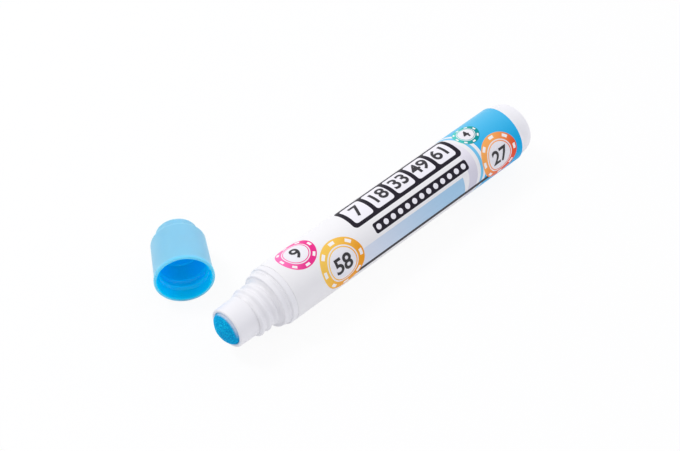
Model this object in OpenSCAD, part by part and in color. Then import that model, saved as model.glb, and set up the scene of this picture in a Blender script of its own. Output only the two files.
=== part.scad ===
// Slim bingo dauber, lying on its side with its cap taken off beside it.
// The dauber's axis runs along +X from the tip to the base, and the table is z = 0.
// All sizes are in millimetres. Stations along the axis count from the plane of the nose's rim.

/* [Barrel] */
// Diameter of the barrel over its label
barrel_d = 20; // [19.8:0.1:24]
// Length from the nose's rim to the base's foot
dauber_len = 128.7; // [100:0.1:150]
// Wall of the blow-moulded bottle
bottle_wall = 1; // [0.7:0.05:1.3]
// Thickness of the wrap-round label
label_t = 0.15; // [0.1:0.01:0.25]
// Bare band between the label and the base's foot
base_band = 6.4; // [4.5:0.1:12]
// How far the base's edge lies inside the barrel's surface
base_inset = 0.32; // [0.2:0.02:0.8]
// Radius of the base's rounding
base_round = 2.1; // [1.5:0.1:3]
// Width of the flat ring that the dauber can stand on
foot_w = 1.2; // [0.8:0.1:1.8]
// Depth of the push-up inside the foot ring
pushup_depth = 1.6; // [0.8:0.1:2.4]

/* [Shoulder] */
// Length of the collar behind the cap's seat
collar_len = 2; // [1.6:0.1:4]
// How far the collar lies inside the barrel's surface at the cap's seat
collar_inset = 0.9; // [0.6:0.05:1.1]
// How far the collar lies inside the barrel's surface where it meets the groove
collar_back_inset = 0.45; // [0.25:0.05:0.55]
// Length of the groove between collar and bead
groove_len = 0.7; // [0.5:0.1:1.2]
// How far the groove's floor lies inside the barrel's surface
groove_inset = 0.75; // [0.6:0.05:1]
// Length of the bead that protects the label's front edge
bead_len = 1.9; // [1.4:0.1:3]
// How far the bead lies inside the label's surface
bead_inset = 0.05; // [0:0.01:0.15]
// Bare gap between the bead and the label
label_gap = 0.3; // [0.2:0.1:1]

/* [Neck] */
// Length of the threaded neck, from its top to the cap's seat
neck_len = 8.2; // [7.4:0.1:9]
// Diameter at the root of the thread
neck_d = 14.4; // [14.1:0.1:14.5]
// Wall of the neck round the bore that the tip housing presses into
neck_wall = 1.1; // [0.9:0.05:1.2]
// Length of the slope that leads up to the cap's seat
seat_slope = 0.8; // [0.5:0.1:1]
// Width of the seat's flat face
seat_w = 0.7; // [0.5:0.05:0.9]
// Pitch of the neck's thread and of the cap's
thread_pitch = 2.8; // [2.6:0.05:2.9]
// Height of the neck's thread above its root
thread_h = 0.6; // [0.4:0.05:0.7]
// Width of either thread at its root
thread_root_w = 1.3; // [1.1:0.1:1.5]
// Width of either thread at its crest
thread_crest_w = 0.6; // [0.4:0.1:0.8]
// Distance from the neck's top to the thread's start
thread_lead = 0.3; // [0.3:0.05:0.7]
// Distance from the thread's end to the cap's seat
thread_tail = 1.8; // [1.4:0.05:2.6]

/* [Tip] */
// Length of the nose in front of the neck
nose_len = 7.4; // [6.9:0.1:9]
// How far the nose lies inside the neck's surface where they meet
nose_inset = 0.4; // [0.3:0.05:0.6]
// How much the nose's radius shrinks from there to its rim
nose_taper = 0.15; // [0:0.05:0.3]
// Wall of the cup that the foam sits in, at the rim
cup_wall = 1.1; // [0.9:0.05:1.2]
// How far the foam's dome stands out past the rim
foam_proud = 2.75; // [2.3:0.05:3]
// How far the edge of that dome stands out past the rim
foam_edge = 0.4; // [0.2:0.05:0.6]
// Height of the foam's side
foam_side = 3.8; // [3.4:0.1:4]
// Clearance round the foam inside the cup
foam_gap = 0.2; // [0.15:0.05:0.3]
// Length of the plug that presses into the neck
plug_len = 7.4; // [7:0.1:8.5]

/* [Valve] */
// How far the tip goes in when it is pressed on paper
press_travel = 1; // [0.7:0.05:1.1]
// Thickness of the disc that carries the foam
carrier_t = 1.2; // [0.9:0.1:1.4]
// Diameter of the ink holes in that disc
ink_hole_d = 1.4; // [1:0.1:1.8]
// Diameter of the stem in the orifice
stem_d = 3; // [2.8:0.1:3.4]
// Diameter of the stem's spigot, which the valve head clips on
spigot_d = 2.2; // [2:0.05:2.4]
// Thickness of the web that the valve shuts against
web_t = 1.2; // [0.9:0.1:1.4]
// Wall of the plug round the chamber behind the web
plug_wall = 1.1; // [0.9:0.05:1.3]
// Ink gap in the chamber, round the valve head's flange
head_gap = 1.1; // [0.8:0.1:1.3]
// Thickness of that flange
head_t = 1; // [0.8:0.1:1.2]
// How far the rubber washer lies inside the flange's edge
washer_inset = 0.2; // [0:0.05:0.4]
// Thickness of the rubber washer
washer_t = 0.8; // [0.6:0.1:1]
// How far the washer laps over the web round the ink orifice
washer_lap = 1.1; // [0.8:0.05:1.3]
// Diameter of the bosses that centre the spring
boss_d = 3.5; // [3.3:0.05:3.6]
// Length of those bosses
boss_len = 1.5; // [1.2:0.1:1.7]
// Diameter of the spring's wire
wire_d = 0.35; // [0.3:0.01:0.4]
// Clearance inside the spring, round the bosses
spring_clear = 0.225; // [0.15:0.025:0.35]
// Turns of the spring
spring_turns = 5; // [4:0.5:5.5]

/* [Spring cage] */
// Length of the cage's ring inside the plug
cage_len = 1.8; // [1.4:0.1:2.2]
// Wall of that ring
cage_wall = 0.6; // [0.5:0.05:0.8]
// Thickness of the cage's back lip, hub and spokes
cage_lip_t = 0.8; // [0.6:0.1:1]
// Gap between the lip and the neck's bore
cage_lip_gap = 0.4; // [0.2:0.1:0.6]
// Diameter of the hub that backs the spring
cage_hub_d = 5.8; // [5.2:0.1:6.2]
// Width of each spoke
spoke_w = 1.2; // [0.9:0.1:1.5]
// Height of the ring's snap bead
snap_h = 0.12; // [0.08:0.01:0.16]

/* [Cap] */
// Length of the cap
cap_len = 21.5; // [21:0.1:24]
// Wall of the cap
cap_wall = 0.8; // [0.7:0.05:0.85]
// Clearance inside the cap's mouth, round the neck's thread
cap_clear = 0.7; // [0.65:0.05:0.8]
// How far the lip at the mouth stands out from the skirt
cap_lip_step = 0.25; // [0.1:0.05:0.4]
// Length of the lip
cap_lip_len = 1; // [0.6:0.1:1.6]
// How much the skirt's radius shrinks from the lip to the shoulder
skirt_taper = 0.5; // [0.3:0.05:0.6]
// How much the shoulder's cone steps in
shoulder_step = 1.95; // [1.7:0.05:2.1]
// Length of the shoulder's cone
shoulder_len = 1.7; // [1.5:0.1:2.2]
// Length of the crown past that cone
crown_len = 3.5; // [3.1:0.1:3.8]
// How much the crown's radius shrinks from its foot to its bevel
crown_taper = 0.1; // [0.05:0.05:0.3]
// Size of the bevel round the crown's end
crown_bevel = 0.85; // [0.5:0.05:1]
// Height of the thread inside the cap
cap_thread_h = 0.95; // [0.8:0.05:1]
// Turns of thread inside the cap
cap_thread_turns = 2.2; // [1.5:0.1:2.4]
// Distance from the cap's mouth to its thread's start
cap_thread_lead = 3.3; // [2.8:0.1:3.8]
// Length of the ring that seals on the nose
seal_ring_len = 3; // [2.4:0.1:3.4]
// Wall of that ring
seal_ring_wall = 0.5; // [0.4:0.05:0.6]

/* [Layout] */
// Station of the loose cap's mouth along the dauber
cap_x = 4.2; // [0:0.1:20]
// Distance of that mouth from the dauber's axis
cap_y = 24.3; // [23:0.1:40]
// Heading of the loose cap, from the dauber's axis
cap_heading = 56.5; // [40:0.25:90]

/* [Hidden] */
$fn = 96;

// Clearances: pressed and glued pieces, sliding pieces, and the overrun of a cut
fit_gap = 0.02;
slide_gap = 0.1;
overrun = 0.5;

// Stations along the dauber's axis
x_land = nose_len;
x_seat = x_land + neck_len;
x_groove = x_seat + collar_len;
x_bead = x_groove + groove_len;
x_bead_end = x_bead + bead_len;
x_label = x_bead_end + label_gap;
x_base = dauber_len;
x_label_end = x_base - base_band;
x_plug_end = x_land + plug_len;

// Stations of the valve, counted from the foam back to the spring
x_carrier = foam_side - foam_edge;
x_carrier_back = x_carrier + carrier_t;
x_web = x_carrier_back + press_travel + slide_gap;
x_web_back = x_web + web_t;
x_head = x_web_back + washer_t;
x_head_back = x_head + head_t;
x_hub = x_plug_end;

// Diameters along the bottle, all set in from the barrel's surface
collar_d = barrel_d - 2*collar_inset;
collar_back_d = barrel_d - 2*collar_back_inset;
seat_in_d = collar_d - 2*seat_w;
groove_d = barrel_d - 2*groove_inset;
bead_d = barrel_d - 2*bead_inset;
base_d = barrel_d - 2*base_inset;

// Diameters of the nose, the plug and the valve, from the neck inwards
neck_bore_d = neck_d - 2*neck_wall;
nose_back_d = neck_d - 2*nose_inset;
nose_d = nose_back_d - 2*nose_taper;
cup_d = nose_d - 2*cup_wall;
chamber_d = neck_bore_d - 2*plug_wall;
head_d = chamber_d - 2*head_gap;
washer_d = head_d - 2*washer_inset;
orifice_d = washer_d - 2*washer_lap;
spring_d = boss_d + wire_d + 2*spring_clear;
cage_lip_d = neck_bore_d - 2*cage_lip_gap;

// Diameters of the cap, from its skirt, which goes over the neck's thread
cap_skirt_d = neck_d + 2*(thread_h + cap_clear + cap_wall);
cap_lip_d = cap_skirt_d + 2*cap_lip_step;
cap_shoulder_d = cap_skirt_d - 2*skirt_taper;
crown_d = cap_shoulder_d - 2*shoulder_step;
crown_top_d = crown_d - 2*crown_taper;

// Small sizes that belong to the bottle
skin_r = barrel_d/2 - label_t - fit_gap;
land_chamfer = 0.2;
seat_round = 0.25;
bead_round = 0.25;
flare_at_share = 0.72;
flare_rise_share = 0.15;
foot_in_r = base_d/2 - base_round - foot_w;

// Small sizes that belong to the threads
thread_turns = (neck_len - thread_lead - thread_tail)/thread_pitch;
thread_phase = -172;
cap_thread_phase = 180;
thread_step = 15;
thread_fade = 50;
fade_w_share = 0.35;
thread_sink = 0.3;
thread_dive = thread_sink/2;

// Small sizes that belong to the tip housing
rim_round = 0.35;
rim_in_round = 0.2;
plug_chamfer = 0.4;
rib_h = fit_gap/2;
rib_w = 0.6;
rib_shares = [0.25, 0.6];
snap_w = 0.5;
snap_at_share = 0.45;

// Small sizes that belong to the carrier and the valve
ink_holes = 8;
foam_dome_steps = 10;
spigot_chamfer = 0.25;
spokes = 4;
wire_sides = 6;
wire_rings = 18;

// Small sizes that belong to the cap
lip_round = 0.2;
lip_back = 0.3;
mouth_chamfer = 0.25;
ring_chamfer = 0.25;
h_shoulder = cap_len - crown_len - shoulder_len;
h_crown = cap_len - crown_len;

// How the loose cap lies on the table: its lip and its shoulder's edge both touch
cap_tilt = atan((cap_lip_d - cap_shoulder_d)/2/(h_shoulder - cap_lip_len));
cap_z = cap_lip_d/2*cos(cap_tilt) + cap_lip_len*sin(cap_tilt);
cap_dx = cos(cap_heading)*cos(cap_tilt);
cap_dy = sin(cap_heading)*cos(cap_tilt);

// The cap's outer outline, as [radius, distance from the mouth]
cap_outside = concat(
    arc([cap_lip_d/2 - lip_round, lip_round], lip_round, -90, 0),
    [[cap_lip_d/2, cap_lip_len],
     [cap_skirt_d/2, cap_lip_len + lip_back],
     [cap_shoulder_d/2, h_shoulder],
     [crown_d/2, h_crown],
     [crown_top_d/2, cap_len - crown_bevel],
     [crown_top_d/2 - crown_bevel, cap_len]]);

// The row's origin is on the table, under the middle of the whole footprint
x_low = min([-foam_proud, for (p = cap_outside) cap_x + p[1]*cap_dx - p[0]*sqrt(1 - cap_dx*cap_dx)]);
y_high = max([for (p = cap_outside) cap_y + p[1]*cap_dy + p[0]*sqrt(1 - cap_dy*cap_dy)]);
origin = [(x_low + x_base)/2, (y_high - barrel_d/2)/2, 0];

// Points on an arc, in the plane of an outline
function arc(c, r, from, to, n = 5) =
    [for (i = [0:n]) c + r*[cos(from + (to - from)*i/n), sin(from + (to - from)*i/n)]];

// A turned solid on the dauber's axis, from an outline of [radius, station] points
module turned(outline) {
    rotate([0, 90, 0]) rotate_extrude() polygon(outline);
}

// Puts a piece of the dauber on the table, relative to the row's origin
module lay_dauber() {
    translate([0, 0, barrel_d/2] - origin) children();
}

// Puts the loose cap on the table, its mouth towards the tip
module lay_cap() {
    translate([cap_x, cap_y, cap_z] - origin)
        rotate([0, 0, cap_heading])
            rotate([0, 90 + cap_tilt, 0]) children();
}

// How far a thread has grown at an angle from its start, from 0 to 1
function grown(a, sweep) = min(1, a/thread_fade, (sweep - a)/thread_fade);

// A helical ridge round the Z axis: its root lies sunk in the wall at root_r, and its crest
// stands out by rise, which is negative for a thread inside a bore, and dives into the wall
// at both ends
module thread_ridge(root_r, rise, turns, start, phase) {
    sweep = 360*turns;
    n = ceil(sweep/thread_step);
    side = sign(rise);
    sections = [for (k = [0:n])
        let (a = sweep*k/n, g = max(0, grown(a, sweep)), z = start + thread_pitch*a/360,
             in_r = root_r - side*thread_sink, out_r = root_r + rise*g - side*thread_dive*(1 - g),
             w = thread_root_w*(fade_w_share + (1 - fade_w_share)*g)/2,
             c = thread_crest_w*(fade_w_share + (1 - fade_w_share)*g)/2)
            for (p = [[in_r, -w], [out_r, -c], [out_r, c], [in_r, w]])
                [p[0]*cos(phase + a), p[0]*sin(phase + a), z + p[1]]];
    polyhedron(sections, tube_faces(4, n, side < 0));
}

// Triangles of a tube of n steps with m corners a section, closed at both ends
function tube_faces(m, n, flip = false) =
    let (faces = concat(
        [for (k = [0:n - 1], j = [0:m - 1])
            [k*m + j, k*m + (j + 1)%m, (k + 1)*m + (j + 1)%m]],
        [for (k = [0:n - 1], j = [0:m - 1])
            [k*m + j, (k + 1)*m + (j + 1)%m, (k + 1)*m + j]],
        [for (j = [1:m - 2]) [0, j + 1, j]],
        [for (j = [1:m - 2]) [n*m, n*m + j, n*m + j + 1]]))
    flip ? [for (f = faces) [f[2], f[1], f[0]]] : faces;

// Outline of the bottle's outside, from the neck's top to the base's foot
function bottle_outside() = concat(
    [[neck_d/2 - land_chamfer, x_land],
     [neck_d/2, x_land + land_chamfer],
     [neck_d/2, x_seat - seat_slope],
     [seat_in_d/2, x_seat]],
    arc([collar_d/2 - seat_round, x_seat + seat_round], seat_round, -90, 0),
    [[collar_d/2 + (collar_back_d - collar_d)/2*flare_rise_share, x_seat + collar_len*flare_at_share],
     [collar_back_d/2, x_groove],
     [groove_d/2, x_groove + groove_len/4],
     [groove_d/2, x_bead]],
    arc([bead_d/2 - bead_round, x_bead + bead_round], bead_round, -90, 0),
    arc([bead_d/2 - bead_round, x_bead_end - bead_round], bead_round, 0, 90),
    [[skin_r, x_bead_end + label_gap/2],
     [skin_r, x_label_end + label_gap/2]],
    arc([base_d/2 - base_round, x_base - base_round], base_round, 0, 90, 8));

// Outline of the bottle's inside, from the middle of the base to the neck's top
function bottle_inside() = concat(
    [for (a = [90:-15:0]) [foot_in_r*cos(a), x_base - bottle_wall - pushup_depth*sin(a)]],
    arc([base_d/2 - base_round, x_base - base_round], base_round - bottle_wall, 90, 0),
    [[skin_r - bottle_wall, x_label_end],
     [skin_r - bottle_wall, x_label],
     [neck_bore_d/2, x_plug_end + cage_lip_t],
     [neck_bore_d/2, x_land]]);

module bottle() {
    color("white") lay_dauber() {
        turned(concat(
            bottle_outside(),
            [for (a = [0:15:90]) [foot_in_r*cos(a), x_base - pushup_depth*sin(a)]],
            bottle_inside()));
        rotate([0, 90, 0])
            thread_ridge(neck_d/2, thread_h, thread_turns, x_land + thread_lead, thread_phase);
    }
}

module label() {
    color("lightskyblue") lay_dauber()
        turned([[barrel_d/2 - label_t, x_label], [barrel_d/2, x_label],
                [barrel_d/2, x_label_end], [barrel_d/2 - label_t, x_label_end]]);
}

// The nose with the foam's cup, and behind the web the plug with the valve's chamber
module tip_housing() {
    plug_r = neck_bore_d/2 - fit_gap;
    snap_x = x_plug_end - cage_len*snap_at_share;
    color("whitesmoke") lay_dauber()
        turned(concat(
            arc([nose_d/2 - rim_round, rim_round], rim_round, -90, 0),
            [[nose_back_d/2, x_land], [plug_r, x_land]],
            [for (s = rib_shares, p = [[0, 0], [1/2, 1], [1, 0]])
                [plug_r + rib_h*p[1], x_land + plug_len*s + rib_w*p[0]]],
            [[plug_r, x_plug_end - plug_chamfer], [plug_r - plug_chamfer/2, x_plug_end],
             [chamber_d/2, x_plug_end],
             [chamber_d/2, snap_x + snap_w],
             [chamber_d/2 + snap_h + fit_gap, snap_x],
             [chamber_d/2, snap_x - snap_w],
             [chamber_d/2, x_web_back], [orifice_d/2, x_web_back],
             [orifice_d/2, x_web], [cup_d/2, x_web]],
            arc([cup_d/2 + rim_in_round, rim_in_round], rim_in_round, 180, 270)));
}

// A pad of open-cell foam with a domed front, an arc through the edge and the crown
module foam_tip() {
    foam_r = cup_d/2 - foam_gap;
    rise = foam_proud - foam_edge;
    dome_r = (foam_r*foam_r + rise*rise)/(2*rise);
    half = asin(foam_r/dome_r);
    color("dodgerblue") lay_dauber()
        turned(concat(
            [for (i = [0:foam_dome_steps])
                [dome_r*sin(half*i/foam_dome_steps),
                 dome_r*(1 - cos(half*i/foam_dome_steps)) - foam_proud]],
            [[foam_r, x_carrier], [0, x_carrier]]));
}

// The disc behind the foam, drilled for ink, with the stem that reaches through the orifice
module foam_carrier() {
    disc_r = cup_d/2 - slide_gap;
    hole_ring_r = (disc_r + stem_d/2)/2;
    color("gainsboro") lay_dauber()
        difference() {
            turned([[0, x_carrier], [disc_r, x_carrier], [disc_r, x_carrier_back],
                    [stem_d/2, x_carrier_back], [stem_d/2, x_web_back],
                    [spigot_d/2, x_web_back], [spigot_d/2, x_head_back + boss_len/2 - spigot_chamfer],
                    [spigot_d/2 - spigot_chamfer, x_head_back + boss_len/2],
                    [0, x_head_back + boss_len/2]]);
            for (i = [0:ink_holes - 1])
                rotate([i*360/ink_holes, 0, 0]) translate([x_carrier - overrun, 0, hole_ring_r])
                    rotate([0, 90, 0]) cylinder(h = carrier_t + 2*overrun, d = ink_hole_d, $fn = 24);
        }
}

module valve_washer() {
    color("dimgray") lay_dauber()
        turned([[spigot_d/2 + fit_gap, x_web_back], [washer_d/2, x_web_back],
                [washer_d/2, x_head], [spigot_d/2 + fit_gap, x_head]]);
}

// The head that clips on the stem's spigot and clamps the washer
module valve_head() {
    color("gainsboro") lay_dauber()
        turned([[spigot_d/2 + fit_gap, x_head], [head_d/2, x_head],
                [head_d/2, x_head_back], [boss_d/2, x_head_back],
                [boss_d/2, x_head_back + boss_len - spigot_chamfer],
                [boss_d/2 - spigot_chamfer, x_head_back + boss_len],
                [0, x_head_back + boss_len], [0, x_head_back + boss_len/2 + fit_gap],
                [spigot_d/2 + fit_gap, x_head_back + boss_len/2 + fit_gap]]);
}

// One unbroken coil between the valve head and the cage's hub
module valve_spring() {
    rings = wire_rings*spring_turns;
    run = x_hub - x_head_back - wire_d;
    echo(spring_gap = run/spring_turns - wire_d);
    points = [for (k = [0:rings], j = [0:wire_sides - 1])
        let (a = 360*spring_turns*k/rings, b = 360*j/wire_sides,
             r = spring_d/2 + wire_d/2*cos(b))
            [r*cos(a), r*sin(a), x_head_back + wire_d/2 + run*k/rings + wire_d/2*sin(b)]];
    color("silver") lay_dauber() rotate([0, 90, 0])
        polyhedron(points, tube_faces(wire_sides, rings, true));
}

// The cage that snaps into the plug's end and backs the spring, open between its spokes
module spring_cage() {
    ring_r = chamber_d/2 - fit_gap;
    snap_x = x_plug_end - cage_len*snap_at_share;
    color("whitesmoke") lay_dauber() {
        turned([[ring_r - cage_wall, x_plug_end - cage_len], [ring_r, x_plug_end - cage_len],
                [ring_r, snap_x - snap_w], [ring_r + snap_h, snap_x], [ring_r, snap_x + snap_w],
                [ring_r, x_plug_end], [cage_lip_d/2, x_plug_end],
                [cage_lip_d/2, x_plug_end + cage_lip_t],
                [ring_r - cage_wall, x_plug_end + cage_lip_t]]);
        turned([[0, x_hub - boss_len], [boss_d/2 - spigot_chamfer, x_hub - boss_len],
                [boss_d/2, x_hub - boss_len + spigot_chamfer], [boss_d/2, x_hub],
                [cage_hub_d/2, x_hub], [cage_hub_d/2, x_hub + cage_lip_t], [0, x_hub + cage_lip_t]]);
        for (i = [0:spokes - 1])
            rotate([i*360/spokes, 0, 0])
                translate([x_hub, -spoke_w/2, cage_hub_d/2 - cage_wall])
                    cube([cage_lip_t, spoke_w, ring_r - cage_hub_d/2 + cage_wall/2]);
    }
}

// The cap, from its mouth at z = 0: lip, tapered skirt, shoulder and crown, with the ring
// inside that seals on the nose
module cap() {
    in_mouth_r = cap_skirt_d/2 - cap_wall;
    in_shoulder_r = cap_shoulder_d/2 - cap_wall;
    in_crown_r = crown_top_d/2 - cap_wall;
    h_in = h_shoulder - cap_wall/2;
    ring_in_r = nose_d/2 + slide_gap;
    ring_out_r = ring_in_r + seal_ring_wall;
    slope = shoulder_len/(cap_shoulder_d/2 - crown_d/2);
    ring_tip = h_in + (in_shoulder_r - ring_out_r)*slope - seal_ring_len;
    thread_r = in_mouth_r - (in_mouth_r - in_shoulder_r)*cap_thread_lead/h_in;
    color("skyblue") lay_cap() {
        rotate_extrude() polygon(concat(
            cap_outside,
            [[0, cap_len], [0, cap_len - cap_wall],
             [in_crown_r, cap_len - cap_wall],
             [in_crown_r, h_in + (in_shoulder_r - in_crown_r)*slope],
             [ring_in_r, h_in + (in_shoulder_r - ring_in_r)*slope],
             [ring_in_r, ring_tip + ring_chamfer],
             [ring_in_r + ring_chamfer, ring_tip],
             [ring_out_r, ring_tip],
             [ring_out_r, h_in + (in_shoulder_r - ring_out_r)*slope],
             [in_shoulder_r, h_in],
             [in_mouth_r, mouth_chamfer],
             [in_mouth_r + mouth_chamfer, 0]]));
        thread_ridge(thread_r, -cap_thread_h, cap_thread_turns, cap_thread_lead, cap_thread_phase);
    }
}

bottle();
label();
tip_housing();
foam_tip();
foam_carrier();
valve_washer();
valve_head();
valve_spring();
spring_cage();
cap();
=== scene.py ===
"""A slim bingo dauber lying on a white table, with its screw cap taken off and lying beside it.

The barrel, nose, foam, label and cap are turned surfaces, worked out from outlines of
(station, radius) points. Stations run along the dauber's axis from the plane of the nose's rim,
and along the cap's axis from its mouth.
"""
import math
from collections import namedtuple

import bmesh
import bpy
import numpy as np
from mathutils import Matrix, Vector


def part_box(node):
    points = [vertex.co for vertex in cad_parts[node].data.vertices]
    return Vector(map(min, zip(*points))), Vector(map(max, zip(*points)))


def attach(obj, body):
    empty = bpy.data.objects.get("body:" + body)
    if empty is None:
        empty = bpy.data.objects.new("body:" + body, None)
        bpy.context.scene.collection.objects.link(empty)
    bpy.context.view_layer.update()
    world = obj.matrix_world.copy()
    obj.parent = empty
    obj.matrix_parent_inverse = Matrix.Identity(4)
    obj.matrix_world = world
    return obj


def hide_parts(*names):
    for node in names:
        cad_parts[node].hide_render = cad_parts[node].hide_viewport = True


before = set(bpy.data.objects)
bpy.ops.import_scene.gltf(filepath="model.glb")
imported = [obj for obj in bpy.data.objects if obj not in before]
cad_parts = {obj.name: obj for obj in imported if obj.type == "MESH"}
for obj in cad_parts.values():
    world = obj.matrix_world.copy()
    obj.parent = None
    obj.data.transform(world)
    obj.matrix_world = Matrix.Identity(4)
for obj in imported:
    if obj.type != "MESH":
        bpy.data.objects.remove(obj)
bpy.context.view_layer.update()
mm = 0.001

# The dauber's sizes
barrel_r = 10 * mm
label_t = 0.15 * mm
bottle_wall = 1 * mm
fit_gap = 0.02 * mm
skin_r = barrel_r - label_t - fit_gap
dauber_len = 128.7 * mm

# The base: an elliptical heel from the barrel down to a foot ring, which goes round a push-up
heel_r = 9.35 * mm
heel_len = 5.5 * mm
foot_out_r = 7.58 * mm
foot_w = 1.2 * mm
foot_in_r = foot_out_r - foot_w
pushup_depth = 1.6 * mm

# Stations and radii along the shoulder and the neck
x_land = 7.4 * mm
x_seat = 15.6 * mm
x_collar_bend = 17.04 * mm
x_groove = 17.6 * mm
x_bead = 18.3 * mm
x_bead_end = 20.2 * mm
x_label = 20.5 * mm
x_label_end = 122.3 * mm
collar_r = 9.1 * mm
collar_bend_r = 9.17 * mm
collar_back_r = 9.55 * mm
groove_r = 9.37 * mm
bead_r = 9.95 * mm
neck_r = 7.2 * mm
neck_bore_r = 6.1 * mm
seat_slope = 0.8 * mm
seat_in_r = 8.4 * mm

# The thread that the neck and the cap share, and where it starts, how far it runs and how high it
# stands on each. At its ends it fades out and narrows to a share of its width
thread_pitch = 2.8 * mm
thread_root_half = 1.3 * mm
thread_crest_half = 0.1 * mm
thread_fade = math.radians(50)
thread_end_width = 0.35
neck_thread_at = x_land + 0.25 * mm
neck_thread_from = math.radians(25)
neck_thread_turns = 2.3
neck_thread_high = 0.6 * mm
cap_thread_at = 3.3 * mm
cap_thread_from = math.pi
cap_thread_turns = 2.2
cap_thread_high = 0.95 * mm

# The nose, its cup and the foam
nose_r = 6.65 * mm
nose_back_r = 6.8 * mm
cup_r = 5.55 * mm
foam_r = 5.35 * mm
foam_proud = 2.75 * mm
foam_edge = 0.8 * mm
foam_edge_r = 5.12 * mm
foam_rim_r = 5.47 * mm
foam_back = 3.4 * mm
x_web = 5.7 * mm
x_web_back = 6.9 * mm
orifice_r = 2.6 * mm
chamber_r = 5 * mm
x_plug_end = 14.8 * mm
tint_reach = 0.75 * mm
cage_lip_t = 0.8 * mm

# How the foam's surface is made: how far its edge is worn, how many cells it has, the least and
# most of their radius and depth in millimetres, and how high its slow waves are
foam_step = 0.07 * mm
foam_worn = 0.7 * mm
foam_smoothings = 20
foam_cells = 620
foam_cell_r = (0.16, 0.34)
foam_cell_deep = (0.05, 0.16)
foam_wave = 0.03 * mm
foam_seed = 7

# The label's lap along the back
lap_at = math.radians(200)
lap_half = 2.2 * mm
lap_edge = 0.3 * mm
lap_drop = 0.05 * mm

# The cap's sizes, from its mouth to its closed end
cap_len = 21.5 * mm
cap_wall = 0.8 * mm
cap_lip_r = 9.55 * mm
cap_lip_len = 1 * mm
cap_skirt_r = 9.3 * mm
cap_shoulder_r = 8.8 * mm
h_shoulder = 16.3 * mm
h_crown = 18 * mm
crown_r = 6.85 * mm
crown_top_r = 6.75 * mm
crown_bevel = 0.85 * mm
seal_ring_len = 3 * mm
seal_ring_wall = 0.5 * mm
slide_gap = 0.1 * mm

# How the loose cap lies: its mouth's place from the nose's rim, its heading, and the small
# tilt at which its lip and its shoulder's edge both touch the table
cap_x = 4.2 * mm
cap_y = 24.3 * mm
cap_heading = math.radians(56.5)
cap_tilt = math.atan((cap_lip_r - cap_shoulder_r) / (h_shoulder - cap_lip_len))

# The photograph's camera, from the point of the table under the nose's rim
camera_at = Vector((-221.263, -276.545, 422.2)) * mm
camera_turn = (math.radians(43.826), 0, math.radians(-44.197))
camera_lens = 95.15
camera_sensor = 36

# The light: the sky's tint and its strength across the scene, and the lamp
sky_tint = (0.975, 0.98, 1.04, 1)
sky_middle = 0.77
sky_slope = 0.32
lamp_at = (-0.32, 0.6, 0.95)
lamp_width = 0.35
lamp_watts = 4.7
lamp_tint = (1, 0.985, 0.955)

# The most that an outline's points stand apart: along the neck, from the cap's seat to the bead,
# along the cap's thread, on the rest of the cap, and on the barrel and inside the neck's bore
neck_step = 0.1 * mm
collar_step = 0.25 * mm
cap_thread_step = 0.16 * mm
cap_step = 0.5 * mm
plain_step = 3 * mm

SIDES = 192
FINE_SIDES = 256
FILM_SIDES = 320

Place = namedtuple("Place", "origin along up side")


def dauber_place():
    """The dauber's axis runs along +X, and angles count from the top towards -Y."""
    rim_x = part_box("tip_housing")[0].x
    axis_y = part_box("label")[0].y + barrel_r
    return Place((rim_x, axis_y, barrel_r), (1, 0, 0), (0, 0, 1), (0, -1, 0))


def cap_place():
    """The cap's axis runs from its mouth to its closed end, and angles count from the underside."""
    rim = dauber_place().origin
    ch, sh = math.cos(cap_heading), math.sin(cap_heading)
    ct, st = math.cos(cap_tilt), math.sin(cap_tilt)
    level = cap_lip_r * ct + cap_lip_len * st
    origin = (rim[0] + cap_x, rim[1] + cap_y, level)
    return Place(origin, (ch * ct, sh * ct, -st), (-ch * st, -sh * st, -ct), (-sh, ch, 0))


# Outlines and turned surfaces


def rounded(corners, turn=math.radians(10)):
    """A path through corners of (station, radius, round). Each corner with a round is cut back to
    where an arc of that radius touches both of its sides, and the arc is drawn in short turns. An
    arc takes less than half of either side, and a corner that is almost straight gets none."""
    points = np.array([c[:2] for c in corners])
    most, straight = 0.49, 0.01
    path = [points[0]]
    for i in range(1, len(points) - 1):
        before, after = points[i - 1] - points[i], points[i + 1] - points[i]
        room = most * min(np.linalg.norm(before), np.linalg.norm(after))
        before, after = before / np.linalg.norm(before), after / np.linalg.norm(after)
        inner = math.acos(np.clip(before @ after, -1, 1))
        sweep = math.pi - inner
        if corners[i][2] == 0 or sweep < straight:
            path.append(points[i])
            continue
        cut = min(corners[i][2] / math.tan(inner / 2), room)
        radius = cut * math.tan(inner / 2)
        inward = (before + after) / np.linalg.norm(before + after)
        middle = points[i] + inward * radius / math.sin(inner / 2)
        start, end = points[i] + before * cut - middle, points[i] + after * cut - middle
        for t in np.linspace(0, 1, max(3, math.ceil(sweep / turn) + 1)):
            spoke = math.sin((1 - t) * sweep) * start + math.sin(t * sweep) * end
            path.append(middle + spoke / math.sin(sweep))
    return np.array(path + [points[-1]])


def stepped(path, step):
    """The same path with points added, so that none are further apart than step. step is a number,
    or a function of (station, radius) that gives one."""
    parts = []
    for a, b in zip(path[:-1], path[1:]):
        longest = step(*(a + b) / 2) if callable(step) else step
        n = max(1, math.ceil(np.linalg.norm(b - a) / longest))
        parts.append(a + (b - a) * np.linspace(0, 1, n, endpoint=False)[:, None])
    return np.vstack(parts + [path[-1:]])


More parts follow.
